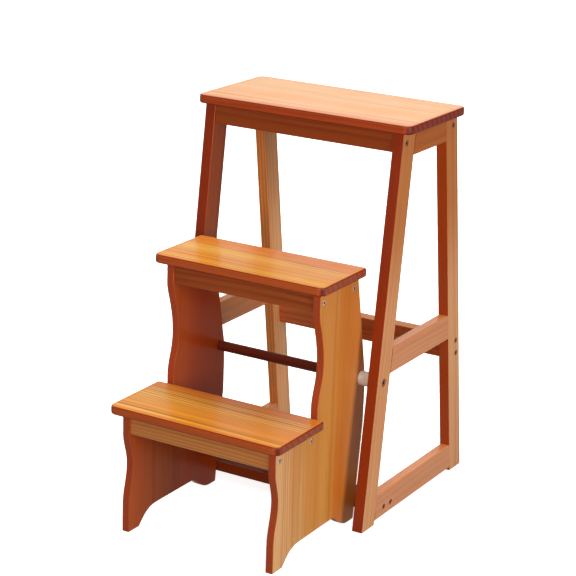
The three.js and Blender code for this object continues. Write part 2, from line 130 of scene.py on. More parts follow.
def round_edges(piece, wanted, radius, steps):
    open_edit(piece)
    pick(piece, "edges", wanted)
    bpy.ops.mesh.bevel(offset=radius, segments=steps, profile=0.5, affect="EDGES", clamp_overlap=True)
    close_edit()


def settle(piece, sharp_above=WOOD_SHARP):
    """Smooth shading that keeps the flat faces flat."""
    only(piece)
    bpy.ops.object.shade_smooth_by_angle(angle=math.radians(sharp_above))
    weighted = piece.modifiers.new("weighted", "WEIGHTED_NORMAL")
    weighted.keep_sharp = True
    bpy.ops.object.modifier_apply(modifier=weighted.name)


def copy_of(node, name):
    """The CAD piece as one clean mesh: corners merged and flat faces made whole."""
    piece = bpy.data.objects.new(name, frame["nodes"][node].data.copy())
    bpy.context.scene.collection.objects.link(piece)
    piece.data.materials.clear()
    only(piece)
    bpy.ops.mesh.customdata_custom_splitnormals_clear()
    bpy.ops.object.mode_set(mode="EDIT")
    bpy.ops.mesh.select_all(action="SELECT")
    bpy.ops.mesh.remove_doubles(threshold=CLOSE)
    bpy.ops.mesh.dissolve_limited(angle_limit=FLAT_WITHIN)
    close_edit()
    return piece


def apply_place(piece):
    only(piece)
    bpy.ops.object.transform_apply(location=True, rotation=True, scale=True)


def hand_in(piece, node, body, material):
    """The piece stands for its CAD node, rides its body and takes the given material."""
    piece.data.materials.clear()
    piece.data.materials.append(material)
    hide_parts(node)
    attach(piece, body)
    return piece


def on_plane(value, low, high):
    return min(abs(value - low), abs(value - high)) < 2 * CLOSE


def corner_edge(edge):
    return len(edge.link_faces) == 2 and edge.calc_face_angle() > math.radians(WOOD_SHARP)


def parallel(edge, direction):
    run = (edge.verts[1].co - edge.verts[0].co).normalized()
    return abs(run.dot(direction)) > ALONG


def long_edges(node, direction, outer=None):
    """A board's edges along its grain, on its two outer faces across one axis."""
    low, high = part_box(node)

    def wanted(edge):
        if not (corner_edge(edge) and parallel(edge, direction)):
            return False
        if outer is None:
            return True
        return all(on_plane(v.co[outer], low[outer], high[outer]) for v in edge.verts)

    return wanted


# ---------------------------------------------------------------- material helpers
def tone(red, green, blue):
    """An sRGB colour, each part from 0 to 255, as the shader's linear colour."""
    parts = []
    for part in (red, green, blue):
        share = part / 255
        parts.append(share / 12.92 if share <= 0.04045 else ((share + 0.055) / 1.055) ** 2.4)
    return (*parts, 1.0)


def darker(colour, share):
    return (*(share * part for part in colour[:3]), 1.0)


class Shade:
    """One material and the nodes it is made of."""

    def __init__(self, name):
        self.material = bpy.data.materials.new(name)
        self.material.use_nodes = True
        self.tree = self.material.node_tree
        self.tree.nodes.clear()

    def add(self, kind, inputs, **settings):
        made = self.tree.nodes.new("ShaderNode" + kind)
        for key, value in settings.items():
            setattr(made, key, value)
        for key, value in inputs.items():
            if isinstance(value, bpy.types.NodeSocket):
                self.tree.links.new(value, made.inputs[key])
            else:
                made.inputs[key].default_value = value
        return made

    def math(self, operation, first, second=0.0):
        return self.add("Math", {0: first, 1: second}, operation=operation).outputs[0]

    def span(self, value, low, high, to_low=0.0, to_high=1.0):
        """value from low to high, smoothly turned into to_low to to_high."""
        inputs = {"Value": value, "From Min": low, "From Max": high}
        inputs.update({"To Min": to_low, "To Max": to_high})
        return self.add("MapRange", inputs, interpolation_type="SMOOTHSTEP").outputs[0]

    def mix(self, factor, low, high, blend="MIX"):
        inputs = {0: factor, 6: low, 7: high}
        made = self.add("Mix", inputs, data_type="RGBA", blend_type=blend)
        return made.outputs[2]

    def noise(self, vector, scale=1.0, detail=2.0):
        inputs = {"Vector": vector, "Scale": scale, "Detail": detail}
        return self.add("TexNoise", inputs).outputs["Fac"]

    def finish(self, **inputs):
        surface = self.add("BsdfPrincipled", {key.replace("_", " "): v for key, v in inputs.items()})
        self.add("OutputMaterial", {"Surface": surface.outputs[0]})
        return self.material


# ---------------------------------------------------------------- wood
# Tones are the stain and varnish of each kind of board, with some painted light: "early" and "late"
# wood, "warm" patches, the "edge" of narrow faces, the colour of rounded rims (wear, and a painted
# highlight on the lower front apron) and "end" grain. Other keys are tints and shares; those for
# inner faces are painted shade, and the ramps along the grain are painted light.
PALETTES = {
    "top_tread": {
        "early": tone(252, 196, 138),
        "late": tone(212, 126, 70),
        "warm": tone(248, 170, 108),
        "edge": tone(176, 68, 22),
        "rim_colour": tone(98, 20, 6),
        "end": tone(134, 40, 14),
        "margin": tone(224, 130, 84),
        "seam": 0.25,
        "strips": ((1.0, 0.90, 0.90), (1.0, 0.97, 0.92), (0.97, 0.98, 1.0), (0.97, 0.94, 0.90)),
    },
    "step": {
        "early": tone(238, 172, 68),
        "late": tone(164, 70, 12),
        "warm": tone(224, 124, 32),
        "edge": tone(188, 82, 30),
        "rim_colour": tone(106, 30, 5),
        "end": tone(148, 66, 38),
        "margin": tone(224, 116, 32),
        "seam": 0.55,
        # Painted reflection: the left end is paler and bluer, a painted sheen that is gone past the middle.
        "painted_light_ramp": ((1.12, 1.28, 1.62), (0.98, 0.99, 1.00)),
        "end_lines": 0.45,
        "strips": ((0.95, 0.97, 0.62), (0.93, 0.94, 0.80), (0.97, 0.94, 0.96), (1.0, 0.84, 0.90)),
    },
    "panel": {
        "early": tone(206, 142, 74),
        "late": tone(180, 108, 44),
        "warm": tone(198, 112, 42),
        "edge": tone(176, 70, 32),
        "rim_colour": tone(176, 78, 36),
        "end": tone(150, 66, 34),
        # Painted shade: the panels' inner faces are darker and redder.
        "painted_inner_shade": (0.72, 0.27, 0.06),
        "strips": (
            (1.04, 1.28, 2.10),
            (0.94, 1.16, 1.60),
            (0.94, 1.12, 1.00),
            (0.93, 0.92, 0.72),
            (0.84, 0.68, 0.44),
            (0.94, 0.86, 0.76),
        ),
    },
    "leg": {
        "early": tone(202, 144, 96),
        "late": tone(178, 112, 66),
        "warm": tone(194, 124, 74),
        "edge": tone(148, 48, 10),
        "rim_colour": tone(166, 66, 22),
        "end": tone(120, 44, 22),
        # Painted shade on the front legs' inner faces.
        "painted_inner_shade": (0.58, 0.32, 0.20),
        "upper": (0.74, 0.54, 0.26),
    },
    "pale_leg": {
        "early": tone(222, 162, 110),
        "late": tone(196, 124, 72),
        "warm": tone(212, 140, 84),
        "edge": tone(226, 134, 62),
        "rim_colour": tone(208, 126, 70),
        "end": tone(120, 44, 22),
        "upper": (0.60, 0.56, 0.50),
    },
    "rail": {
        "early": tone(198, 134, 92),
        "late": tone(184, 116, 75),
        "warm": tone(192, 120, 78),
        "edge": tone(226, 144, 84),
        "rim_colour": tone(200, 118, 68),
        "end": tone(140, 62, 34),
    },
    # Painted light: a lit copy of the rail tones, redder and stronger, for the rear cross rail.
    "lit_rear_rail": {
        "early": tone(216, 118, 60),
        "late": tone(180, 82, 34),
        "warm": tone(202, 100, 46),
        "edge": tone(226, 150, 96),
        "rim_colour": tone(200, 118, 68),
        "end": tone(140, 62, 34),
        # Painted shade: the rail grows darker and redder towards its right end.
        "painted_light_ramp": ((1.0, 1.0, 1.0), (0.82, 0.60, 0.42)),
    },
    "apron": {
        "early": tone(168, 84, 34),
        "late": tone(134, 56, 16),
        "warm": tone(152, 64, 22),
        "edge": tone(172, 80, 38),
        "rim_colour": tone(174, 84, 40),
        "end": tone(120, 50, 26),
        # Painted shade: the upper aprons are darker, in the shade of the treads.
        "upper": (0.84, 0.70, 0.40),
    },
    "gold_apron": {
        "early": tone(168, 90, 22),
        "late": tone(140, 66, 8),
        "warm": tone(156, 76, 10),
        "edge": tone(176, 92, 42),
        "rim_colour": tone(190, 104, 52),
        "end": tone(120, 50, 26),
    },
    # Painted light: a paler, lit copy of the apron tones, for the lower front apron.
    "pale_apron": {
        "early": tone(208, 138, 74),
        "late": tone(180, 102, 44),
        "warm": tone(196, 110, 52),
        "edge": tone(196, 116, 70),
        # Painted highlight: the pale rim colour stands for light on the apron's rounded rims.
        "rim_colour": tone(222, 152, 108),
        "end": tone(140, 62, 34),
    },
    "dark_board": {
        "early": tone(112, 40, 12),
        "late": tone(84, 28, 8),
        "warm": tone(100, 32, 10),
        "shine": 0.15,
        "edge": tone(146, 58, 22),
        "rim_colour": tone(176, 88, 46),
        "end": tone(104, 38, 18),
    },
    "bar": {
        "early": tone(112, 42, 20),
        "late": tone(86, 28, 12),
        "warm": tone(104, 34, 14),
        "edge": tone(104, 34, 14),
        "rim_colour": tone(108, 38, 18),
        "end": tone(84, 30, 16),
    },
    "dowel": {
        "early": tone(214, 180, 134),
        "late": tone(200, 160, 112),
        "warm": tone(210, 172, 124),
        "edge": tone(208, 172, 126),
        "rim_colour": tone(208, 172, 126),
        "end": tone(188, 148, 104),
    },
}

PALETTES["rear_leg"] = dict(PALETTES["leg"], edge=tone(170, 64, 16))


# Growth rings, in metres.
BOARD_RING = 0.0042
TREAD_RING = 0.0050
PANEL_RING = 0.0034
RING_WANDER = 0.011
HEART_ASIDE = (-0.03, 0.03)
STRIP_HEART = (0.03, 0.11)
HEART_DEPTH = (0.035, 0.055)
PATTERN_SHIFT = (0, 50)

# Late wood darkens slowly through a ring, as a share of it, and ends at once.
RING_DARKENS = (0.30, 0.90)
RING_ENDS = (0.90, 1.0)

# How quickly each pattern changes along and across the grain, per metre.
GRAIN = {
    "wander": (1.6, 7.0),
    "strength": (2.4, 28.0),
    "fibre": (14.0, 900.0),
    "warmth": (1.6, 14.0),
    "streak": (0.9, 95.0),
}

# Where a pattern's value starts and stops to show, and how much it then does.
STRENGTH_SPAN = (0.35, 0.65, 0.40, 1.0)
WARMTH_SPAN = (0.50, 0.95, 0.0, 0.75)
STRIP_WARMTH = 0.4
EVEN_WARMTH = 0.5
STREAK_SPAN = (0.60, 0.70, 0.0, 0.65)
FIBRE_SPAN = (0.25, 0.75, 0.92, 1.07)

# A glued seam's half width, as a share of a strip, and how far past the middle the painted light
# ramp runs, as a share of the board's length.
SEAM = 0.035
PAINTED_LIGHT_ENDS = 0.1

# Margins fade between two distances from a board's rims, in metres, from one strength to another.
# Darker towards the top, coming in between two heights: on the aprons, painted shade under the treads.
FRONT_MARGIN = (0.003, 0.015, 0.8, 0.0)
END_MARGIN = (0.003, 0.011, 0.45, 0.0)
UPPER_DARKENING = (0.33, 0.50)

# Where faces and corners begin and end, by how far the surface faces along the broad axis, or,
# for corners and ends, along the grain.
# Painted shade on inner faces comes in over this span.
SHADED_INNER_FACE = (0.3, 0.8)
NARROW_FACE = (0.92, 0.45)
RIM_FROM_EDGE = (0.2, 0.75)
RIM_FROM_FACE = (0.99, 0.80)
CORNER_TURN = (0.15, 0.70)
END_FACE = (0.86, 0.97)
RING_ON_EDGE = 0.4
# How strongly rounded rims take the rim colour: wear on most boards, a painted highlight on the lower front
# apron.
RIM_TONE = 0.95

# End grain: dark lines that slant through the board, on top of its rings. From one line to the
# next is twice END_LINES, in metres.
END_SLANT = 0.7
END_LINES = 0.0075
END_WANDER = 0.012
LINE_SPAN = (0.35, 0.80)
END_CONTRAST = 0.85
END_RINGS = 0.6
END_SHADE = 0.38

# Varnish.
PEEL_SCALE = 260.0
PEEL_HEIGHT = 0.6
FIBRE_HEIGHT = 0.5
RING_HEIGHT = -0.25
WOOD_BUMP = {"Strength": 0.35, "Distance": 0.00025}
CLOUD_SCALE = 16.0
CLOUDS = (0.3, 0.7)
VARNISH_ROUGH = (0.26, 0.36)
FIBRE_ROUGH = 0.06
VARNISH_SHINE = 0.22
COAT = 0.15
COAT_ROUGH = 0.12


class Board:
    """Where a point lies on its board, in the board's own directions, and which way it faces."""

    def __init__(self, shade, node, grain, broad, lean, shift):
        low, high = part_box(node)
        grain, broad = AXES.index(grain), AXES.index(broad)
        cross = next(axis for axis in range(len(AXES)) if axis not in (grain, broad))
        self.length = (high - low)[grain]
        self.spread = (high - low)[cross]
        self.shade = shade
        self.shift = shift

        spot = shade.add("TexCoord", {}).outputs
        self.spot = spot["Object"]
        seat = Matrix.Rotation(lean, 3, "X") @ ((low + high) / 2)
        centred = {"Vector": self.spot, "Location": -seat, "Rotation": (lean, 0, 0)}
        board = shade.add("Mapping", centred).outputs[0]
        place = shade.add("SeparateXYZ", {0: board}).outputs
        self.along, self.across, self.through = (place[axis] for axis in (grain, cross, broad))

        facing = shade.add("SeparateXYZ", {0: spot["Normal"]}).outputs
        self.outward = facing[broad]
        self.flat = shade.math("ABSOLUTE", facing[broad])
        self.cut = shade.math("ABSOLUTE", facing[grain])

    def pattern(self, name, detail=2.0):
        """Noise that is drawn out along the grain."""
        lengthways, crossways = GRAIN[name]
        shifted = {0: self.along, 1: lengthways, 2: self.shift}
        parts = {
            "X": self.shade.add("Math", shifted, operation="MULTIPLY_ADD").outputs[0],
            "Y": self.shade.math("MULTIPLY", self.across, crossways),
            "Z": self.shade.math("MULTIPLY", self.through, crossways),
        }
        return self.shade.noise(self.shade.add("CombineXYZ", parts).outputs[0], detail=detail)


def glued_strips(board, strip):
    """A glued-up board's strips: each has its own heart and its own depth of colour."""
    shade = board.shade
    number = shade.math("FLOOR", shade.math("DIVIDE", board.across, strip))
    seed = {"W": shade.math("ADD", number, board.shift)}
    drawn = shade.add("TexWhiteNoise", seed, noise_dimensions="1D").outputs["Color"]
    parts = shade.add("SeparateColor", {0: drawn}).outputs
    return shade.span(parts[0], 0, 1, *STRIP_HEART), parts[1]


def growth_rings(board, ring, heart, depth, wander):
    """How far into its late wood the ring is at each point, from 0 to 1."""
    shade = board.shade
    drift = shade.span(wander, 0, 1, -RING_WANDER, RING_WANDER)
    sideways = shade.math("ADD", shade.math("ADD", board.across, heart), drift)
    inwards = shade.math("ADD", board.through, depth)
    squares = [shade.math("POWER", part, 2) for part in (shade.math("ABSOLUTE", sideways), inwards)]
    radius = shade.math("SQRT", shade.math("ADD", *squares))
    turns = shade.math("FRACT", shade.math("DIVIDE", radius, ring))
    late = shade.math("MULTIPLY", shade.span(turns, *RING_DARKENS), shade.span(turns, *RING_ENDS, 1.0, 0.0))
    return shade.math("MULTIPLY", late, shade.span(board.pattern("strength"), *STRENGTH_SPAN))


def tinted(shade, colour, tint, share=1.0):
    """The colour multiplied by a tint, over a share of the surface."""
    stain_and_painted_light = shade.mix(1.0, colour, tint, blend="MULTIPLY")
    return stain_and_painted_light if share == 1.0 else shade.mix(share, colour, stain_and_painted_light)


def strip_tints(board, tints):
    """A soft run of tints across the board."""
    reach = board.spread / 2
    limits = {"Value": board.across, "From Min": -reach, "From Max": reach}
    ramp = board.shade.add("ValToRGB", {0: board.shade.add("MapRange", limits).outputs[0]})
    ramp.color_ramp.interpolation = "LINEAR"
    stops = ramp.color_ramp.elements
    while len(stops) < len(tints):
        stops.new(0.5)
    for number, tint in enumerate(tints):
        stops[number].position = (number + 0.5) / len(tints)
        stops[number].color = (*tint, 1.0)
    return ramp.outputs[0]


def broad_face(board, tones, late, strip, strip_warmth):
    """The colour of a board's wide faces."""
    shade = board.shade
    colour = shade.mix(late, tones["early"], tones["late"])
    warmth = shade.math("ADD", board.pattern("warmth"), shade.math("MULTIPLY", strip_warmth, STRIP_WARMTH))
    colour = shade.mix(shade.span(warmth, *WARMTH_SPAN), colour, tones["warm"])
    colour = shade.mix(shade.span(board.pattern("streak"), *STREAK_SPAN), colour, tones["late"])
    if strip:
        colour = tinted(shade, colour, strip_tints(board, tones["strips"]))
    # Painted light along the grain, from one tint at the left end to another just past the middle.
    if "painted_light_ramp" in tones:
        share = shade.span(board.along, -board.length / 2, PAINTED_LIGHT_ENDS * board.length)
        tint = shade.mix(share, *((*part, 1.0) for part in tones["painted_light_ramp"]))
        colour = tinted(shade, colour, tint)
    if "seam" in tones:
        within = shade.math("FRACT", shade.math("DIVIDE", board.across, strip))
        from_middle = shade.math("ABSOLUTE", shade.math("SUBTRACT", within, 0.5))
        seam = shade.span(from_middle, 0.5 - SEAM, 0.5, 0.0, tones["seam"])
        colour = shade.mix(seam, colour, tones["late"])
    if "margin" in tones:
        from_front = shade.math("ADD", board.across, board.spread / 2)
        from_end = shade.math("SUBTRACT", board.length / 2, shade.math("ABSOLUTE", board.along))
        near = [shade.span(from_front, *FRONT_MARGIN), shade.span(from_end, *END_MARGIN)]
        colour = shade.mix(shade.math("MAXIMUM", *near), colour, tones["margin"])
    return colour


def end_grain(board, tones, late, wander):
    """Slanting dark lines and rings on a board's sawn ends."""
    shade = board.shade
    slant = shade.math("ADD", board.across, shade.math("MULTIPLY", board.through, END_SLANT))
    slant = shade.math("ADD", slant, shade.span(wander, 0, 1, -END_WANDER, END_WANDER))
    lines = shade.math("PINGPONG", shade.math("ABSOLUTE", slant), END_LINES)
    dark_from, dark_at = (share * END_LINES for share in LINE_SPAN)
    lines = shade.span(lines, dark_from, dark_at, 0.0, tones.get("end_lines", END_CONTRAST))
    lines = shade.math("MAXIMUM", lines, shade.math("MULTIPLY", late, END_RINGS))
    return shade.mix(lines, tones["end"], darker(tones["end"], END_SHADE))


def stain_and_painted_light(board, tones, colour, late, wander, inward):
    """Stain on narrow faces, corners and ends; painted shade on inner faces and darker tops; rim colour,
    partly wear and partly painted highlight.
    """
    shade = board.shade
    # Painted shade: faces that look inward, towards the other side of the ladder, are darkened.
    if inward:
        painted_inner_shade = shade.span(shade.math("MULTIPLY", board.outward, inward), *SHADED_INNER_FACE)
        colour = tinted(shade, colour, (*tones["painted_inner_shade"], 1.0), painted_inner_shade)
    # Darker towards the top: painted shade under the treads on the aprons, and a darker top on the legs.
    if "upper" in tones:
        height = shade.add("SeparateXYZ", {0: board.spot}).outputs["Z"]
        colour = tinted(shade, colour, (*tones["upper"], 1.0), shade.span(height, *UPPER_DARKENING))
    edge = shade.mix(shade.math("MULTIPLY", late, RING_ON_EDGE), tones["edge"], tones["end"])
    edge = shade.mix(shade.span(board.cut, *CORNER_TURN), edge, tones["rim_colour"])
    colour = shade.mix(shade.span(board.flat, *NARROW_FACE), colour, edge)
    # Rounded rims take their own colour: a dark line on the treads, a painted highlight on the lower front
    # apron, wear elsewhere.
    rims = [shade.span(board.flat, *limits) for limits in (RIM_FROM_EDGE, RIM_FROM_FACE)]
    rim = shade.math("MULTIPLY", shade.math("MULTIPLY", *rims), RIM_TONE)
    colour = shade.mix(rim, colour, tones["rim_colour"])
    return shade.mix(shade.span(board.cut, *END_FACE), colour, end_grain(board, tones, late, wander))


def pine(name, palette, grain, broad, node, lean=0.0, ring=BOARD_RING, strip=None, inward=0):
    """Varnished pine for one board: its grain runs along one axis, its wide faces look along broad."""
    chance = random.Random(name)
    tones = PALETTES[palette]
    shade = Shade(name)
    board = Board(shade, node, grain, broad, lean, chance.uniform(*PATTERN_SHIFT))
    heart, depth = chance.uniform(*HEART_ASIDE), chance.uniform(*HEART_DEPTH)
    strip_warmth = EVEN_WARMTH
    if strip:
        heart, strip_warmth = glued_strips(board, strip)
    wander = board.pattern("wander")
    fibre = board.pattern("fibre", detail=3.0)
    late = growth_rings(board, ring, heart, depth, wander)
    colour = broad_face(board, tones, late, strip, strip_warmth)
    colour = stain_and_painted_light(board, tones, colour, late, wander, inward)
    varied = {"Color": colour, "Value": shade.span(fibre, *FIBRE_SPAN)}

    peel = shade.noise(board.spot, scale=PEEL_SCALE)
    heights = ((fibre, FIBRE_HEIGHT), (late, RING_HEIGHT), (peel, PEEL_HEIGHT))
    fibres, rings, peel = (shade.math("MULTIPLY", *part) for part in heights)
    height = shade.math("ADD", shade.math("ADD", fibres, rings), peel)
    clouds = shade.span(shade.noise(board.spot, scale=CLOUD_SCALE), *CLOUDS, *VARNISH_ROUGH)
    shine = tones.get("shine", 1.0)
    return shade.finish(
        Base_Color=shade.add("HueSaturation", varied).outputs[0],
        Roughness=shade.math("ADD", clouds, shade.math("MULTIPLY", fibre, FIBRE_ROUGH)),
        Normal=shade.add("Bump", {"Height": height, **WOOD_BUMP}).outputs[0],
        Specular_IOR_Level=VARNISH_SHINE * shine,
        Coat_Weight=COAT * shine,
        Coat_Roughness=COAT_ROUGH,
    )


# ---------------------------------------------------------------- metal and plastic
METAL_SHARE = 0.62
METAL_SHADE = 0.82
METAL_MARKS = 2600.0
METAL_CLOUDS = 320.0
MARK_ROUGH = 0.08
METAL_BUMP = {"Strength": 0.2, "Distance": 0.00003}
PLASTIC_CLOUDS = 140.0
PLASTIC_GRIT = 3800.0
PLASTIC_ROUGH = (0.38, 0.52)
PLASTIC_BUMP = {"Strength": 0.3, "Distance": 0.00004}


def metal(name, colour, low, high):
    """Plated steel with fine turned marks and a slightly cloudy shine."""
    shade = Shade(name)
    spot = shade.add("TexCoord", {}).outputs["Object"]
    marks = shade.noise(spot, scale=METAL_MARKS, detail=3.0)
    clouds = shade.noise(spot, scale=METAL_CLOUDS)
    rough = shade.span(clouds, *CLOUDS, low, high)
    rough = shade.math("ADD", rough, shade.math("MULTIPLY", marks, MARK_ROUGH))
    return shade.finish(
        Base_Color=shade.mix(shade.span(clouds, *CLOUDS), colour, darker(colour, METAL_SHADE)),
        Metallic=METAL_SHARE,
        Roughness=rough,
        Normal=shade.add("Bump", {"Height": marks, **METAL_BUMP}).outputs[0],
    )


def plastic(name, colour, shadow, shine=0.5):
    """Moulded plastic, or the near-black painted shade inside a screw's socket: a little uneven in colour,
    with a fine grain.
    """
    shade = Shade(name)
    spot = shade.add("TexCoord", {}).outputs["Object"]
    clouds = shade.noise(spot, scale=PLASTIC_CLOUDS)
    grit = shade.noise(spot, scale=PLASTIC_GRIT, detail=3.0)
    return shade.finish(
        Base_Color=shade.mix(shade.span(clouds, *CLOUDS), colour, shadow),
        Roughness=shade.span(grit, *CLOUDS, *PLASTIC_ROUGH),
        Normal=shade.add("Bump", {"Height": grit, **PLASTIC_BUMP}).outputs[0],
        Specular_IOR_Level=shine,
    )


# ---------------------------------------------------------------- treads
def tread(node, body, palette, front_corner, back_corner, strip):
    """A board rounded in plan at its corners, then along its top and bottom rims."""
    low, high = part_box(node)
    middle = (low + high) / 2
    bpy.ops.object.select_all(action="DESELECT")
    bpy.ops.mesh.primitive_cube_add(size=1, location=middle, scale=high - low)
    piece = bpy.context.active_object
    piece.name = f"{node}_board"
    apply_place(piece)
    for side_y, radius in ((low.y, front_corner), (high.y, back_corner)):

        def upright(edge, side_y=side_y):
            return parallel(edge, Vector((0, 0, 1))) and abs(edge.verts[0].co.y - side_y) < CLOSE

        round_edges(piece, upright, radius, CORNER_STEPS)

    def rim(edge):
        ends = [v.co.z for v in edge.verts]
        return corner_edge(edge) and all(on_plane(z, low.z, high.z) for z in ends)

    round_edges(piece, rim, TREAD_EDGE, TREAD_EDGE_STEPS)
    settle(piece)
    wood = pine(f"{node}_pine", palette, "X", "Z", node, ring=TREAD_RING, strip=strip)
    return hand_in(piece, node, body, wood)


# ---------------------------------------------------------------- legs, rails, aprons and boards
def leg(node, foot_is_forward, palette="leg", inward=0):
    low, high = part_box(node)
    lean = math.atan((high.y - low.y - LEG_DEPTH) / (high.z - low.z))
    lean = lean if foot_is_forward else -lean
    direction = Vector((0, math.sin(lean), math.cos(lean)))
    piece = copy_of(node, f"{node}_board")
    round_edges(piece, long_edges(node, direction, outer=0), LEG_EDGE, EDGE_STEPS)

    def foot(edge):
        return corner_edge(edge) and all(abs(v.co.z - low.z) < CLOSE for v in edge.verts)

    round_edges(piece, foot, FOOT_EDGE, FOOT_EDGE_STEPS)
    settle(piece)
    wood = pine(f"{node}_pine", palette, "Z", "X", node, lean=lean, inward=inward)
    return hand_in(piece, node, "frame", wood)


def rail(node, body, palette, grain, broad, radius, outer, lean=0.0):
    direction = Vector([float(letter == grain) for letter in AXES])
    piece = copy_of(node, f"{node}_board")
    round_edges(piece, long_edges(node, direction, outer), radius, EDGE_STEPS)
    settle(piece)
    wood = pine(f"{node}_pine", palette, grain, broad, node, lean=lean)
    return hand_in(piece, node, body, wood)


def side_panel(side):
    node = f"{side}_side_panel"
    low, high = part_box(node)
    screws = [name for name in frame["nodes"] if name.startswith(side) and name.endswith("apron_screw")]
    recesses = [sum(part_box(name), Vector()) / 2 for name in screws]

    def near_recess(edge):
        middle = (edge.verts[0].co + edge.verts[1].co) / 2
        return any(math.hypot(middle.y - at.y, middle.z - at.z) < RECESS_REACH for at in recesses)

    def on_face(edge):
        flat = abs(edge.verts[0].co.x - edge.verts[1].co.x) < CLOSE
        return corner_edge(edge) and flat and on_plane(edge.verts[0].co.x, low.x, high.x)

    piece = copy_of(node, f"{node}_board")
    round_edges(piece, lambda edge: on_face(edge) and not near_recess(edge), PANEL_EDGE, EDGE_STEPS)
    settle(piece, PANEL_SHARP)
    inward = 1 if side == "left" else -1
    looks = {"ring": PANEL_RING, "strip": PANEL_STRIP, "inward": inward}
    wood = pine(f"{node}_pine", "panel", "Z", "X", node, **looks)
    return hand_in(piece, node, "step_unit", wood)


def pivot_bar():
    """The round bar between the panels, with a pocket in each end for its threaded insert."""
    node = "pivot_bar"
    low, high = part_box(node)
    middle = (low + high) / 2
    bpy.ops.object.select_all(action="DESELECT")
    radius = (high.z - low.z) / 2
    turned = (0, math.pi / 2, 0)
    bpy.ops.mesh.primitive_cylinder_add(
        vertices=BAR_SIDES, radius=radius, depth=high.x - low.x, location=middle, rotation=turned
    )
    piece = bpy.context.active_object
    piece.name = f"{node}_rod"
    apply_place(piece)
    round_edges(piece, corner_edge, BAR_EDGE, BAR_EDGE_STEPS)
    open_edit(piece)
    pick(piece, "faces", lambda face: abs(face.normal.x) > FACING)
    bpy.ops.mesh.inset(thickness=radius - BAR_EDGE - BAR_POCKET_RADIUS)
    for way in (1, -1):
        pick(piece, "faces", lambda face: face.normal.x * way > FACING and len(face.verts) > 4)
        bpy.ops.mesh.extrude_region_move(
            TRANSFORM_OT_translate={"value": (-way * BAR_POCKET_DEPTH, 0, 0)}
        )
    close_edit()
    settle(piece)
    wood = pine(f"{node}_pine", "bar", "X", "Y", node)
    return hand_in(piece, node, "step_unit", wood)


# ---------------------------------------------------------------- fasteners
def on_face_within(edge, radius):
    """An edge in the screw's outer face, no further from its middle than this."""
    level = min(v.co.z for v in edge.verts) > -CLOSE
    return level and max(v.co.xy.length for v in edge.verts) < radius + CLOSE


def socket_screw(name, sizes, head_radius, length):
    """A flat-faced screw with a hexagon socket, its outer face at the origin and its tip below."""
    bpy.ops.object.select_all(action="DESELECT")
    head = sizes["head"]
    bpy.ops.mesh.primitive_cylinder_add(
        vertices=SCREW_SIDES, radius=head_radius, depth=head, location=(0, 0, -head / 2)
    )
    piece = bpy.context.active_object
    piece.name = name
    apply_place(piece)

    def outer_rim(edge):
        return corner_edge(edge) and edge.verts[0].co.z > -CLOSE

    round_edges(piece, outer_rim, sizes["rim"], RIM_STEPS)
    open_edit(piece)
    pick(piece, "faces", lambda face: face.normal.z > FACING and len(face.verts) > 4)
    seat_radius = KEY_SEAT * sizes["key"]
    bpy.ops.mesh.inset(thickness=head_radius - sizes["rim"] - seat_radius)
    bpy.ops.mesh.delete(type="ONLY_FACE")
    bpy.ops.mesh.select_all(action="DESELECT")
    bpy.ops.mesh.primitive_circle_add(vertices=6, radius=sizes["key"], location=(0, 0, 0))
    pick(piece, "edges", lambda edge: on_face_within(edge, seat_radius))
    bpy.ops.mesh.bridge_edge_loops()
    pick(piece, "edges", lambda edge: on_face_within(edge, sizes["key"]))
    bpy.ops.mesh.extrude_edges_move(TRANSFORM_OT_translate={"value": (0, 0, -sizes["key_depth"])})
    bpy.ops.mesh.edge_face_add()
    pick(piece, "faces", lambda face: face.normal.z < -FACING and len(face.verts) > 6)
    bpy.ops.mesh.inset(thickness=head_radius - sizes["shank"])
    tip = 2 * sizes["shank"]
    bpy.ops.mesh.extrude_region_move(TRANSFORM_OT_translate={"value": (0, 0, head + tip - length)})
    bpy.ops.mesh.extrude_region_move(TRANSFORM_OT_translate={"value": (0, 0, -tip)})
    bpy.ops.transform.resize(value=(TIP_SHARE, TIP_SHARE, 1), center_override=(0, 0, -length))
    bpy.ops.mesh.select_all(action="SELECT")
    bpy.ops.mesh.remove_doubles(threshold=TOUCHING)
    bpy.ops.mesh.normals_make_consistent(inside=False)
    close_edit()
    return piece


def socket_faces(mesh, sizes):
    """The walls and the bottom of a screw's hexagon socket, by number."""

    def inside(face):
        corners = [mesh.vertices[index].co for index in face.vertices]
        narrow = max(corner.xy.length for corner in corners) < sizes["key"] + CLOSE
        depth = max(-corner.z for corner in corners)
        return narrow and CLOSE < depth < sizes["key_depth"] + CLOSE

    return [face.index for face in mesh.polygons if inside(face)]


def fit_screws(nodes, body, sizes, material, socket_shade):
    """One screw is modelled, and each place gets a copy with a mesh of its own."""
    low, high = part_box(nodes[0])
    pattern = socket_screw("pattern", sizes, (high.z - low.z) / 2, high.x - low.x)
    settle(pattern, SCREW_SHARP)
    sockets = socket_faces(pattern.data, sizes)
    for node in nodes:
        low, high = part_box(node)
        side = 1 if low.x + high.x > 0 else -1
        face = high.x if side > 0 else low.x
        place = Matrix.Translation((face, (low.y + high.y) / 2, (low.z + high.z) / 2))
        copy = bpy.data.objects.new(f"{node}_head", pattern.data.copy())
        bpy.context.scene.collection.objects.link(copy)
        copy.data.transform(place @ Matrix.Rotation(side * math.pi / 2, 4, "Y"))
        hand_in(copy, node, body, material)
        copy.data.materials.append(socket_shade)
        # The socket's walls and bottom take the painted shade.
        for index in sockets:
            copy.data.polygons[index].material_index = 1
    bpy.data.objects.remove(pattern)


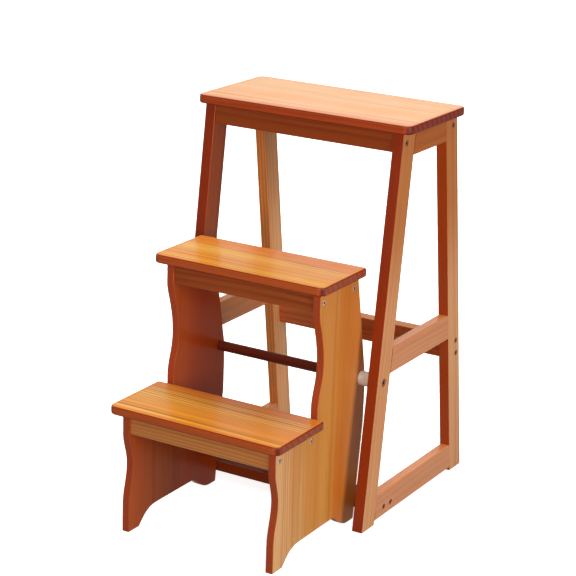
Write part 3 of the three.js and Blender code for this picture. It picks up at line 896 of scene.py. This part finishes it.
def pivot_spacer(side, material):
    node = f"{side}_pivot_spacer"
    low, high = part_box(node)
    radius = (high.z - low.z) / 2
    bpy.ops.object.select_all(action="DESELECT")
    bpy.ops.mesh.primitive_cylinder_add(
        vertices=SPACER_SIDES,
        radius=radius,
        depth=high.x - low.x,
        location=(low + high) / 2,
        rotation=(0, math.pi / 2, 0),
    )
    piece = bpy.context.active_object
    piece.name = f"{node}_bush"
    apply_place(piece)
    round_edges(piece, corner_edge, SPACER_EDGE, RIM_STEPS)
    open_edit(piece)
    pick(piece, "faces", lambda face: abs(face.normal.x) > FACING)
    bpy.ops.mesh.inset(thickness=radius - SPACER_EDGE - SPACER_BORE)
    pick(piece, "faces", lambda face: abs(face.normal.x) > FACING and len(face.verts) > 4)
    bpy.ops.mesh.bridge_edge_loops()
    close_edit()
    settle(piece)
    return hand_in(piece, node, "step_unit", material)


# ---------------------------------------------------------------- the whole ladder
def build_frame():
    tread("top_tread", "frame", "top_tread", TOP_TREAD_CORNER, TOP_TREAD_CORNER, TOP_STRIP)
    for side in SIDES:
        leg(f"{side}_front_leg", True, inward=1 if side == "left" else -1)
        leg(f"{side}_rear_leg", False, palette="pale_leg" if side == "left" else "rear_leg")
        for place in ("lower_side_rail", "mid_side_rail"):
            rail(f"{side}_{place}", "frame", "rail", "Y", "X", RAIL_EDGE, 0)
        rail(f"{side}_top_side_apron", "frame", "gold_apron", "Y", "X", RAIL_EDGE, 0)
    low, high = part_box("left_rear_leg")
    rear_lean = -math.atan((high.y - low.y - LEG_DEPTH) / (high.z - low.z))
    # The rear cross rail takes the lit copy of the rail tones, a painted light.
    rail("rear_cross_rail", "frame", "lit_rear_rail", "X", "Y", RAIL_EDGE, None, lean=rear_lean)
    for place in ("front", "rear"):
        rail(f"top_{place}_apron", "frame", "apron", "X", "Y", APRON_EDGE, 1)
    rail("floor_board", "frame", "dark_board", "X", "Z", RAIL_EDGE, 1)


def build_step_unit():
    for height in ("lower", "middle"):
        tread(f"{height}_step", "step_unit", "step", STEP_FRONT_CORNER, STEP_BACK_CORNER, STEP_STRIP)
        for place in ("front", "rear"):
            # The lower front apron takes the lit copy of the apron tones, a painted light.
            looks = "pale_apron" if (height, place) == ("lower", "front") else "apron"
            rail(f"{height}_{place}_apron", "step_unit", looks, "X", "Y", APRON_EDGE, 1)
    for side in SIDES:
        side_panel(side)
    pivot_bar()


def build_fittings():
    nickel = metal("screw_nickel", tone(255, 246, 230), 0.16, 0.30)
    bronze = metal("screw_bronze", tone(164, 124, 88), 0.24, 0.38)
    # Painted shade: near-black in the screws' hexagon sockets, where shade falls.
    socket_shade = plastic("socket_painted_shade", tone(16, 11, 9), tone(9, 6, 5), shine=0.05)
    zinc = metal("insert_zinc", tone(186, 184, 178), 0.28, 0.42)
    nylon = plastic("spacer_nylon", tone(226, 214, 200), tone(206, 190, 172))
    bodies = frame["record"]["behaviour"]["bodies"]
    for body, plating in (("frame", bronze), ("step_unit", nickel)):
        screws = sorted(name for name in bodies[body] if name.endswith("_screw"))
        fit_screws(screws, body, SCREW, plating, socket_shade)
    fit_screws([f"{side}_pivot_bolt" for side in SIDES], "step_unit", BOLT, bronze, socket_shade)
    for side in SIDES:
        pivot_spacer(side, nylon)
        insert = frame["nodes"][f"{side}_pivot_insert"]
        insert.data.materials.clear()
        insert.data.materials.append(zinc)
    for name, piece in frame["nodes"].items():
        if name.endswith("_dowel"):
            piece.data.materials.clear()
            piece.data.materials.append(pine(f"{name}_beech", "dowel", "Z", "X", name))


# ---------------------------------------------------------------- studio
CAMERA_PLACE = Vector((1.45398, -2.49768, 1.26293))
CAMERA_AZIMUTH = math.radians(30.345)
CAMERA_ELEVATION = math.radians(17.464)
CAMERA_ROLL = math.radians(1.867)
CAMERA_LENS = 119.69
CAMERA_REACH = 100.0
SENSOR = 36.0
FLOOR_SIZE = 60.0
FLOOR_DROP = 0.0006
FLOOR_GLOW = (0.8, 3.0, 0.90, 1.08)  # from and to this far out, in metres, and how strong it is there
AMBIENT_AROUND = (-1.0, 1.0, 0.12, 0.20)  # from the front to the rear
AMBIENT_BELOW = (-0.2, 0.05, 0.12, 0.0)  # from below the horizon to above it
LIGHTS_AIM = (0, 0, 0.3)
# Each softbox: where it stands, its width and height in metres, and its power in watts.
SOFTBOXES = {
    "top": ((0.3, 0.2, 4.2), 3.0, 3.0, 140),
    "right": ((2.8, -0.6, 0.75), 1.6, 1.2, 56),
    "front": ((1.3, -2.6, 1.1), 1.8, 1.5, 38),
    "rear": ((-1.6, 2.7, 1.5), 2.2, 1.2, 5),
    "rear_low": ((-0.9, 2.8, 0.45), 1.4, 0.9, 7),
    "left": ((-2.8, 0.4, 0.7), 1.4, 1.2, 26),
}


def camera():
    data = bpy.data.cameras.new("camera")
    data.lens = CAMERA_LENS
    data.sensor_width = SENSOR
    data.clip_end = CAMERA_REACH
    made = bpy.data.objects.new("camera", data)
    bpy.context.scene.collection.objects.link(made)
    swing = Matrix.Rotation(CAMERA_AZIMUTH, 4, "Z")
    tip = Matrix.Rotation(math.pi / 2 - CAMERA_ELEVATION, 4, "X")
    roll = Matrix.Rotation(CAMERA_ROLL, 4, "Z")
    made.matrix_world = Matrix.Translation(CAMERA_PLACE) @ swing @ tip @ roll
    bpy.context.scene.camera = made


def softbox(name, place, width, height, power):
    data = bpy.data.lights.new(name, "AREA")
    data.shape = "RECTANGLE"
    data.size = width
    data.size_y = height
    data.energy = power
    made = bpy.data.objects.new(name, data)
    bpy.context.scene.collection.objects.link(made)
    made.location = place
    made.rotation_euler = (Vector(LIGHTS_AIM) - Vector(place)).to_track_quat("-Z", "Y").to_euler()
    made.visible_camera = False


def floor():
    """A pale floor that glows a little, so that it stays even out to the horizon."""
    bpy.ops.object.select_all(action="DESELECT")
    bpy.ops.mesh.primitive_plane_add(size=FLOOR_SIZE, location=(0, 0, -FLOOR_DROP))
    piece = bpy.context.active_object
    piece.name = "studio_floor"
    white = tone(246, 246, 246)
    shade = Shade("studio_floor_paint")
    spot = shade.add("TexCoord", {}).outputs["Object"]
    distance = shade.add("VectorMath", {0: spot}, operation="LENGTH").outputs["Value"]
    paint = shade.finish(
        Base_Color=white,
        Roughness=0.9,
        Specular_IOR_Level=0.1,
        Emission_Color=white,
        Emission_Strength=shade.span(distance, *FLOOR_GLOW),
    )
    piece.data.materials.append(paint)
    piece.visible_glossy = False
    piece.visible_diffuse = False


def backdrop():
    """White to the eye; as light, dim from the front and brighter from behind and below the ladder."""
    world = bpy.data.worlds.new("studio")
    bpy.context.scene.world = world
    world.use_nodes = True
    tree = world.node_tree
    surface = tree.nodes["Background"]
    surface.inputs["Color"].default_value = (1.0, 1.0, 1.0, 1.0)
    way = tree.nodes.new("ShaderNodeTexCoord").outputs["Generated"]
    parts = tree.nodes.new("ShaderNodeSeparateXYZ")
    tree.links.new(way, parts.inputs[0])
    total = tree.nodes.new("ShaderNodeMath")
    for number, (axis, limits) in enumerate((("Y", AMBIENT_AROUND), ("Z", AMBIENT_BELOW))):
        span = tree.nodes.new("ShaderNodeMapRange")
        tree.links.new(parts.outputs[axis], span.inputs["Value"])
        for name, value in zip(("From Min", "From Max", "To Min", "To Max"), limits):
            span.inputs[name].default_value = value
        tree.links.new(span.outputs[0], total.inputs[number])
    seen = tree.nodes.new("ShaderNodeLightPath").outputs["Is Camera Ray"]
    choice = tree.nodes.new("ShaderNodeMix")
    tree.links.new(seen, choice.inputs[0])
    tree.links.new(total.outputs[0], choice.inputs[2])
    choice.inputs[3].default_value = 1.0
    tree.links.new(choice.outputs[0], surface.inputs["Strength"])


def studio():
    floor()
    backdrop()
    for name, (place, width, height, power) in SOFTBOXES.items():
        softbox(f"{name}_softbox", place, width, height, power)
    bpy.context.scene.view_settings.view_transform = "Standard"


build_frame()
build_step_unit()
build_fittings()
studio()
camera()
